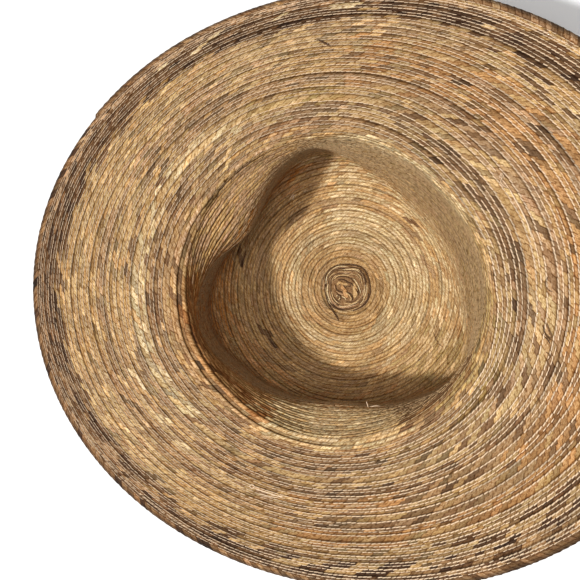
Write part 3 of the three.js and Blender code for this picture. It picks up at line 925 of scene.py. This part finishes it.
def straw_material(name, roughness):
    """Palm straw: each strand's colour, its fibres, and the dark lines of joints, seams and ends, those of
    joints and seams painted shade.
    """
    look = Look(name, roughness)
    look.shader["Specular IOR Level"].default_value = STRAW_SHEEN
    flat = look.flat_place()
    drawn = look.nodes.new("ShaderNodeAttribute")
    drawn.attribute_name = "lines"
    clear, joint, seam = look.split(drawn.outputs["Vector"])
    across = look.mapped(look.split(flat)[1], (0, BRAID_WIDTH * CROWN_ROW), (0, 1))
    fibre = look.noise(flat, FIBRE)
    joint_line = look.drawn_line(across, joint, JOINT_LINE)
    furrows = look.multiplied(joint_line, look.drawn_line(across, seam, SEAM_LINE))
    strand_end = look.mapped(clear, STRAND_END_RANGE, (1.0, 0.0))
    furrows = look.multiplied(furrows, look.faded(strand_end, WHITE, warm(STRAND_END_TONE)))
    colour = look.tone()
    for shade in (furrows, look.shaded_by(fibre, FIBRE), look.shaded_by(look.noise(flat, GRAIN), GRAIN),
                  look.shaded_by(look.noise(flat, FLECKS), FLECKS)):
        colour = look.multiplied(colour, shade)
    look.links.new(colour, look.shader["Base Color"])
    relief = look.nodes.new("ShaderNodeMath")
    relief.operation = "MULTIPLY_ADD"
    look.links.new(fibre, relief.inputs[0])
    relief.inputs[1].default_value = FIBRE_RELIEF
    look.links.new(furrows, relief.inputs[2])
    bump = look.nodes.new("ShaderNodeBump")
    bump.inputs["Strength"].default_value = 1.0
    bump.inputs["Distance"].default_value = RELIEF_DEPTH * MM
    look.links.new(relief.outputs["Value"], bump.inputs["Height"])
    look.links.new(bump.outputs["Normal"], look.shader["Normal"])
    return look.material


def thread_material():
    """Pale sewing thread, twisted."""
    look = Look("sewing_thread", 0.6)
    twist = look.nodes.new("ShaderNodeTexWave")
    twist.bands_direction = "DIAGONAL"
    twist.inputs["Scale"].default_value = TWIST_SCALE
    look.links.new(look.flat_place(), twist.inputs["Vector"])
    depth = look.mapped(twist.outputs["Fac"], (0, 1), TWIST_TONES)
    look.links.new(look.multiplied(look.tone(), depth), look.shader["Base Color"])
    return look.material


def floor_material():
    look = Look("pale_floor", 0.9)
    grain = look.nodes.new("ShaderNodeTexNoise")
    grain.inputs["Scale"].default_value = FLOOR_GRAIN
    look.links.new(look.mapped(grain.outputs["Fac"], (0, 1), FLOOR_TONES), look.shader["Base Color"])
    return look.material


# Camera and light, in millimetres and degrees in the hat's frame
CAMERA = {"place": (67.2, 12.05, 782.2), "tilt": 9.0, "swing": 1.0, "focal_px": 1190.0}
PICTURE_SIDE = 580
SENSOR = 36.0
LAMPS = [
    # name, towards, degrees off vertical, distance, side, power
    ("main_light", (-0.89, -0.46), 23.0, 2500.0, 170.0, 53.0),
    ("overhead_light", (0.9, 0.1), 4.0, 1800.0, 700.0, 12.5),
]
SKY = 0.22
LIT_POINT = (0, 0, 50)
FLOOR_HALF = 4.0                # metres


def set_camera():
    tilt, swing = math.radians(CAMERA["tilt"]), math.radians(CAMERA["swing"])
    back = Vector((math.sin(tilt) * math.cos(swing), math.sin(swing), math.cos(tilt) * math.cos(swing)))
    up = Vector((0, 1, 0))
    up = (up - up.dot(back) * back).normalized()
    right = up.cross(back).normalized()
    turn = Matrix((right, up, back)).transposed().to_4x4()
    data = bpy.data.cameras.new("camera")
    data.sensor_width = SENSOR
    data.lens = CAMERA["focal_px"] / PICTURE_SIDE * SENSOR
    data.clip_start = 0.01
    camera = bpy.data.objects.new("camera", data)
    camera.matrix_world = Matrix.Translation(Vector(CAMERA["place"]) * MM) @ turn
    bpy.context.scene.collection.objects.link(camera)
    bpy.context.scene.camera = camera


def set_light():
    scene = bpy.context.scene
    world = bpy.data.worlds.new("studio")
    world.use_nodes = True
    world.node_tree.nodes["Background"].inputs["Color"].default_value = (1, 1, 1, 1)
    world.node_tree.nodes["Background"].inputs["Strength"].default_value = SKY
    scene.world = world
    target = Vector(LIT_POINT) * MM
    for name, (x, y), off_vertical, distance, side, power in LAMPS:
        lean = math.radians(off_vertical)
        towards = Vector((x * math.sin(lean), y * math.sin(lean), math.cos(lean))).normalized()
        data = bpy.data.lights.new(name, "AREA")
        data.shape = "SQUARE"
        data.size = side * MM
        data.energy = power
        lamp = bpy.data.objects.new(name, data)
        lamp.location = target + towards * distance * MM
        lamp.rotation_euler = towards.to_track_quat("Z", "Y").to_euler()
        scene.collection.objects.link(lamp)
    scene.view_settings.view_transform = "Standard"


def make_floor():
    mesh = bpy.data.meshes.new("floor")
    corners = [(x * FLOOR_HALF, y * FLOOR_HALF, 0) for x, y in ((-1, -1), (1, -1), (1, 1), (-1, 1))]
    mesh.from_pydata(corners, [], [(0, 1, 2, 3)])
    floor = bpy.data.objects.new("floor", mesh)
    floor.data.materials.append(floor_material())
    bpy.context.scene.collection.objects.link(floor)


# A flat straw or thread swept along a path
CORD_SIDES = 6
CORD_TIP, CORD_TAPER = 0.35, 2  # how wide its end is, and how fast it widens between path points


def cord(surface, path, width, thick, tone, smooth=4):
    """Points, faces, tones and flat places of a straw along a path of azimuth, row and height."""
    at = np.linspace(0, len(path) - 1, (len(path) - 1) * smooth + 1)
    slope = np.gradient(path, axis=0)
    k = np.minimum(at.astype(int), len(path) - 2)
    path = smooth_between(path[k], path[k + 1], slope[k], slope[k + 1], (at - k)[:, None])
    centre = surface.at(*path.T)
    out = surface.at(path[:, 0], path[:, 1], path[:, 2] + 1) - centre
    run = np.gradient(centre, axis=0)
    side = unit(np.cross(run, out))
    up = unit(np.cross(side, run))
    angle = np.arange(CORD_SIDES) * 2 * np.pi / CORD_SIDES
    across, raised = np.cos(angle) * width / 2, np.sin(angle) * thick / 2
    taper = np.clip(np.minimum(at, at[-1] - at) * CORD_TAPER + CORD_TIP, 0, 1)[:, None, None] * MM
    points = centre[:, None] + (side[:, None] * across[:, None] + up[:, None] * raised[:, None]) * taper
    faces = closed_tube(len(at), CORD_SIDES)
    flat = np.stack(np.broadcast_arrays(across, run_length(centre)[:, None] / MM), -1).reshape(-1, 2)
    return points.reshape(-1, 3), faces, np.tile(linear(tone), (len(faces), 1)), flat[faces]


def joined_cords(name, parts):
    points, faces, tones, flat = zip(*parts)
    starts = np.cumsum([0] + [len(part) for part in points[:-1]])
    faces = [part + start for part, start in zip(faces, starts)]
    return joined_mesh(name, *(np.concatenate(arrays) for arrays in (points, faces, tones, flat)))


# The button: radius of its outline and the step between its rings of straw, by azimuth
BUTTON_OUTLINE = [(12, 15.1), (53, 17.0), (90, 14.8), (138, 17.2), (180, 14.0), (247, 17.0), (285, 15.5),
                  (315, 16.2), (334, 16.2)]
RING_STEP = [(0, 0.7), (60, 0.72), (90, 0.75), (120, 0.68), (150, 0.5), (180, 0.42), (220, 0.42), (260, 0.5),
             (300, 0.62)]
BUTTON_EDGE = {"inset": 0.1, "height": 1.2, "end": 366, "points": 62}
BUTTON_EDGE_SIZE = (0.6, 0.8)
# The straws wound round the button: tones and how many there are of each
WOUND_STRAWS = [("dark_brown", 17), ("bark", 10), ("umber", 6), ("straw", 9), ("rosy", 8), ("pale", 7)]
WOUND_SPAN = (45, 150)          # degrees
WOUND_STEP = 6                  # degrees between the points of a path
WOUND_DEPTH = (0.4, 9.0)        # steps in from the outline
WOUND_LEAN, LEAST_DEPTH = 1.1, 0.1
WOUND_HEIGHT = (1.25, 1.6)
WOUND_WIDTH, WOUND_THICKNESS = (0.4, 0.75), 0.8
DEPTH_DRIFT, HEIGHT_DRIFT = (25.0, 0.25), (50.0, 0.1)  # period in degrees, and size
SOFTENING = np.array([-14, -7, 0, 7, 14.0])


def soft_table(table, azimuth):
    return np.mean([around_table(table, np.mod(azimuth + by, 360)) for by in SOFTENING], axis=0)


def on_tip(radius, azimuth, height):
    """A path of azimuth, row and height from places about the sewn axis."""
    return np.stack(np.broadcast_arrays(azimuth, (radius - BUTTON_RADIUS) / CROWN_ROW, height), -1)


def from_flat(x, y, height):
    return on_tip(np.hypot(x, y), np.degrees(np.unwrap(np.arctan2(y, x))), height)


# Curled straws on the button: tone, width, thickness and a path in millimetres about its middle
BUTTON_CURLS = [
    ("bark", 3.6, 0.5, [(-9.0, 3.0), (-8.4, -2.0), (-6.4, -7.6)]),
    ("orange", 3.4, 0.5, [(-3.0, 2.0), (-1.6, -2.2), (1.0, -6.8)]),
    ("golden", 3.8, 0.5, [(5.0, 4.2), (5.4, -0.6), (4.4, -7.0)]),
    ("golden", 2.0, 0.8, [(-6.4, 1.4), (-4.8, 3.4), (-2.4, 2.6), (0.4, 1.4)]),
    ("dark_brown", 0.8, 0.9, [(-5.9, 5.2), (-2.5, 5.2), (0.7, 3.5), (4.6, 0.8), (6.7, -2.4), (7.8, -5.6)]),
    ("dark_brown", 0.6, 0.9, [(-9.0, 4.5), (-7.0, 6.6), (-3.0, 7.2), (2.0, 6.2), (5.6, 5.4)]),
    ("straw", 0.8, 0.9, [(-8.4, 5.2), (-6.6, 7.4), (-2.6, 8.2), (2.4, 7.2)]),
    ("rosy", 1.0, 0.9, [(-8.4, 2.0), (-7.6, -1.4), (-5.0, -3.6), (-1.6, -4.4)]),
    ("dark_brown", 0.5, 0.9, [(-7.6, 1.6), (-6.8, -1.2), (-4.4, -2.6), (-1.8, -3.2)]),
    ("brown", 0.7, 0.9, [(-7.0, -2.2), (-5.6, -5.6), (-2.8, -7.2), (0.8, -6.6)]),
    ("straw", 0.9, 0.9, [(-1.8, -2.2), (0.8, -4.2), (2.8, -6.8), (2.0, -8.6)]),
    ("dark_brown", 0.5, 0.9, [(-0.8, -1.8), (1.8, -3.8), (3.8, -6.6), (3.2, -8.8)]),
    ("dark_brown", 0.5, 0.8, [(-6.6, -4.0), (-4.6, -5.0), (-3.8, -7.0), (-5.0, -8.6)]),
    ("pale", 0.9, 0.9, [(-8.2, -6.4), (-6.2, -5.2), (-4.6, -6.6), (-5.6, -8.2)]),
    ("pale", 0.8, 0.9, [(-3.6, -5.6), (-1.4, -6.6), (-0.6, -8.4)]),
    ("brown", 0.6, 0.9, [(-1.0, -8.8), (2.2, -9.6), (5.4, -8.4), (7.4, -6.2)]),
    ("straw", 0.8, 0.9, [(-2.4, -9.8), (1.6, -10.6), (5.6, -9.6), (8.6, -7.0)]),
    ("dark_brown", 0.5, 0.9, [(2.2, 5.6), (5.2, 3.0), (7.0, -0.4), (8.4, -4.2)]),
    ("pale", 0.7, 0.9, [(3.4, 6.4), (6.2, 3.6), (8.0, 0.0), (9.0, -4.0)]),
    ("straw", 0.8, 0.9, [(-9.4, -0.6), (-9.8, -4.0), (-8.2, -7.8), (-5.0, -10.6)]),
    ("dark_brown", 0.5, 0.9, [(-8.6, -1.0), (-9.0, -4.2), (-7.4, -7.6), (-4.2, -9.8)]),
    ("dark_brown", 0.5, 0.8, [(-2.6, 1.6), (-0.6, 0.2), (1.6, 0.6), (2.4, 2.2)]),
    ("umber", 0.6, 0.9, [(-5.0, -0.4), (-3.0, -1.6), (-2.6, -3.4)]),
    ("rosy", 0.8, 0.9, [(-3.4, 9.6), (0.8, 9.8), (4.6, 8.6)]),
    # The outline's tail on the brow side, and the dark outline itself there
    ("dark_brown", 0.8, 0.9, [(-13.6, 5.0), (-14.4, 0.0), (-13.6, -6.0), (-11.2, -12.4), (-7.4, -18.0),
                              (-5.6, -21.5)]),
    ("pale", 0.9, 0.9, [(-12.2, 3.0), (-12.8, -2.0), (-11.8, -7.0), (-9.6, -11.6)]),
]
CURL_HEIGHT, CURL_SPREAD, CURL_END_DROP = 1.75, 0.15, 0.45
BASE_TOP, BASE_UNDER = 1.2, -1.1
BASE_RINGS, BASE_SPOKES, BASE_INSET = 5, 48, 0.5


def button_base(surface):
    """The closed patch of brown straw under the rings and curls."""
    azimuth = np.arange(BASE_SPOKES) * 360 / BASE_SPOKES
    reach = soft_table(BUTTON_OUTLINE, azimuth) - BASE_INSET
    steps = range(1, BASE_RINGS + 1)
    rings = [(step, BASE_TOP) for step in steps] + [(step, BASE_UNDER) for step in reversed(steps)]
    points = np.concatenate([surface.at(*on_tip(reach * step / BASE_RINGS, azimuth, height).T)
                             for step, height in rings])
    faces = closed_tube(len(rings), BASE_SPOKES)
    return points, faces, np.tile(linear("bark"), (len(faces), 1)), points[:, :2][faces] / MM


def wound_straw(surface, dice, tone, side):
    """One straw wound part of the way round the button, on its inside or its outside."""
    start, span = dice.uniform(0, 360), dice.uniform(*WOUND_SPAN)
    azimuth = np.linspace(start, start + span, int(span / WOUND_STEP))
    share = np.linspace(0, 1, len(azimuth))
    depth = dice.uniform(*WOUND_DEPTH) + dice.normal(0, WOUND_LEAN) * share
    depth = np.maximum(depth + drift(dice, azimuth, *DEPTH_DRIFT), LEAST_DEPTH)
    radius = soft_table(BUTTON_OUTLINE, azimuth) - depth * soft_table(RING_STEP, azimuth)
    height = side * (dice.uniform(*WOUND_HEIGHT) + drift(dice, azimuth, *HEIGHT_DRIFT))
    path = on_tip(radius, azimuth, height)
    return cord(surface, path, dice.uniform(*WOUND_WIDTH), WOUND_THICKNESS, tone, smooth=2)


def button(surface):
    """Rings of straw along the outline, and curled ends inside them."""
    dice = np.random.default_rng(BUTTON_SEED)
    parts = [button_base(surface)]
    for side in (1, -1):
        whole = np.linspace(0, BUTTON_EDGE["end"], BUTTON_EDGE["points"])
        radius = soft_table(BUTTON_OUTLINE, whole) - BUTTON_EDGE["inset"]
        edge = on_tip(radius, whole, side * BUTTON_EDGE["height"])
        parts.append(cord(surface, edge, *BUTTON_EDGE_SIZE, "dark_brown", smooth=2))
        for tone, number in WOUND_STRAWS:
            parts += [wound_straw(surface, dice, tone, side) for _ in range(number)]
    for tone, width, thick, line in BUTTON_CURLS:
        x, y = np.array(line).T
        height = CURL_HEIGHT + dice.normal(0, CURL_SPREAD, len(line))
        height[[0, -1]] -= CURL_END_DROP
        parts.append(cord(surface, from_flat(x, y, height), width, thick, tone, smooth=5))
    return joined_cords("button_straws", parts)


# Loose straws and thread ends: tone, width and thickness, and a path of azimuth, row and height
LOOSE_STRAWS = [
    ("dark_brown", (0.35, 0.3), [(2.8, 47.3, 0.9), (1.8, 47.0, 2.0), (0.0, 47.0, 2.4), (-1.0, 47.3, 1.8),
                                 (-1.2, 47.6, 0.9)]),
    ("dark_brown", (0.6, 0.4), [(349.5, 46.8, 0.9), (347.5, 47.1, 1.7), (346.5, 47.5, 2.2),
                                (346.0, 47.9, 1.0)]),
    ("brown", (0.9, 0.4), [(350.5, 47.1, 0.9), (348.2, 47.5, 1.8), (347.0, 47.8, 2.0), (345.5, 47.7, 0.9)]),
    ("dark_brown", (0.5, 0.4), [(346.5, 47.1, 0.9), (345.8, 47.5, 2.0), (344.8, 47.9, 0.9)]),
    ("brown", (0.6, 0.4), [(342.5, 47.7, 0.9), (341.8, 48.2, 1.9), (340.2, 48.1, 1.7), (339.0, 48.6, 0.9)]),
    ("brown", (0.3, 0.3), [(332.8, 11.2, 1.0), (330.2, 11.9, 1.6), (328.5, 12.8, 1.8), (328.2, 13.6, 0.9)]),
    ("grey_tan", (0.35, 0.3), [(328.5, 12.5, 1.0), (320.5, 11.8, 1.8), (313.5, 11.9, 1.8),
                               (307.8, 12.4, 0.9)]),
    ("dark_brown", (1.3, 0.4), [(98.4, 54.6, 0.8), (96.8, 53.9, 1.1), (95.0, 53.3, 0.8)]),
]
LOOSE_THREADS = [
    ("thread", (0.75, 0.5), [(30.2, 46.7, 1.0), (26.2, 46.6, 1.3), (23.0, 46.6, 1.3), (18.2, 46.6, 1.3),
                             (14.2, 46.5, 0.9)]),
    ("thread", (0.4, 0.4), [(35.5, 46.9, 0.9), (34.0, 46.8, 1.8), (33.0, 46.4, 1.8), (31.5, 46.4, 1.4),
                            (30.5, 46.6, 0.9)]),
    ("thread", (0.4, 0.4), [(34.2, 46.5, 0.9), (35.0, 47.0, 1.8), (33.2, 46.9, 0.9)]),
    ("thread", (0.75, 0.5), [(286.0, 33.2, 0.9), (285.6, 33.2, 2.6), (285.0, 33.2, 4.6)]),
    ("thread", (0.7, 0.5), [(286.5, 32.8, 1.0), (289.5, 33.0, 1.7), (291.8, 32.6, 0.9)]),
    ("thread", (0.5, 0.4), [(244.2, 49.7, 0.9), (245.0, 49.9, 1.4), (244.5, 50.3, 1.4), (243.8, 50.1, 1.4),
                            (244.2, 49.7, 0.9)]),
    ("thread", (0.6, 0.5), [(245.2, 50.2, 0.9), (249.2, 50.1, 1.2), (251.8, 50.1, 1.5), (252.8, 50.0, 0.9)]),
    ("thread", (1.0, 0.7), [(251.5, 50.1, 1.0), (252.2, 50.05, 1.6), (252.9, 50.0, 1.0)]),
    ("thread", (0.5, 0.4), [(246.5, 50.7, 0.9), (249.2, 50.6, 1.2), (252.2, 50.4, 0.9)]),
    ("thread", (0.6, 0.4), [(123.2, 12.8, 1.0), (121.5, 13.0, 1.8), (120.0, 13.2, 1.0)]),
    ("thread", (0.6, 0.4), [(122.2, 12.4, 1.0), (120.8, 12.8, 1.8), (119.5, 12.9, 1.0)]),
]


# Where the braid's pieces begin and end, in turns
TIP_TURNS = (-0.4, 15.5)
SIDE_TURNS = (15.5, 42.2)
BRIM_INNER_TURNS = (42.2, 53.0)
BRIM_OUTER_TURNS = (53.0, 62.0)
EDGE_TURNS = (62.0, 63.02)


def inner_edge(turn):
    """Row number of the braid's inner edge. The last turns are sewn closer, so that the rim steps little."""
    late = LAST_ROW - CLOSE_TURNS
    return np.where(turn < late, turn - 0.5, late - 0.5 + RIM_STEP * (turn - late))


def braid_width(turn):
    """How many rows the braid spans; the rim's turn ends at the hat's outline, but for the step in it."""
    rim = LAST_ROW + RIM_STEP * (np.mod(turn - RIM_TURN, 1) - 0.5) - inner_edge(turn)
    return mix(BRAID_WIDTH, rim, rising(turn, RIM_TURN - RIM_RUN_IN, RIM_TURN))


def strand_length(turn, longest):
    return np.minimum(longest, INNER_STRAND + STRAND_GROWTH * (BUTTON_RADIUS + CROWN_ROW * turn))


CLEAN_ROWS = (45.4, 46.6)       # sewn along their edges only
PARTLY_SEWN_ROWS = (46.6, 56)   # the middle seam comes and goes
SEAM_WANDER = (9, 0.22, 1.0)    # seed, period in turns, size
SEAM_MISSING = [(0, 0.1), (60, 0.6), (100, 1.6), (240, 1.6), (270, 0.5), (300, 0.0)]


def sewn_rows(turn):
    """1 where the braid has a seam along its middle, by turn, and 0 where it has none."""
    row = inner_edge(turn) + 0.5
    clean = (row > CLEAN_ROWS[0]) & (row < CLEAN_ROWS[1])
    partly = (row > PARTLY_SEWN_ROWS[0]) & (row < PARTLY_SEWN_ROWS[1])
    most = around_table(SEAM_MISSING, np.mod(Braid.azimuth(turn), 360))
    return np.where(clean | (partly & (wandering(turn, *SEAM_WANDER) > most)), 0.0, 1.0)


def main():
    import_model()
    surface = Surface()
    golden = straw_material("golden_palm_straw", 0.62)
    brown = straw_material("brown_palm_straw", 0.68)
    thread = thread_material()
    plain, edge = (STRAND_SLANT, STRAND_LENGTH), (EDGE_SLANT, EDGE_STRAND_LENGTH)
    stretches = [
        # name, node, slot, material, turns, slant and length of its strands
        ("tip", "crown_tip", "golden_straw", golden, TIP_TURNS, plain),
        ("side", "crown_side", "golden_straw", golden, SIDE_TURNS, plain),
        ("brim_inner", "brim", "golden_straw", golden, BRIM_INNER_TURNS, plain),
        ("brim_outer", "brim", "golden_straw", golden, BRIM_OUTER_TURNS, plain),
        ("edge", "brim_edge", "brown_straw", brown, EDGE_TURNS, edge),
    ]
    for number, (name, node, slot, material, turns, strands) in enumerate(stretches):
        braid = Braid(surface, BRAID_SEED + number, *turns, *strands)
        strip = braid.mesh(name + "_braid")
        strip.data.materials.append(material)
        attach(strip, "root")
        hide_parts(node)
        for k, (line, *how) in enumerate(STITCH_LINES):
            sewing = stitches(name + "_" + line, braid, STITCH_SEED + 10 * number + k, *how)
            sewing.data.materials.append(thread)
            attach(sewing, "root")
    coil = button(surface)
    coil.data.materials.append(brown)
    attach(coil, "root")
    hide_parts("crown_button")
    loose_pieces = [("loose_straws", LOOSE_STRAWS, golden), ("loose_threads", LOOSE_THREADS, thread)]
    for name, loose, material in loose_pieces:
        straws = [cord(surface, np.array(path), *size, tone) for tone, size, path in loose]
        pieces = joined_cords(name, straws)
        pieces.data.materials.append(material)
        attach(pieces, "root")
    make_floor()
    set_camera()
    set_light()


main()
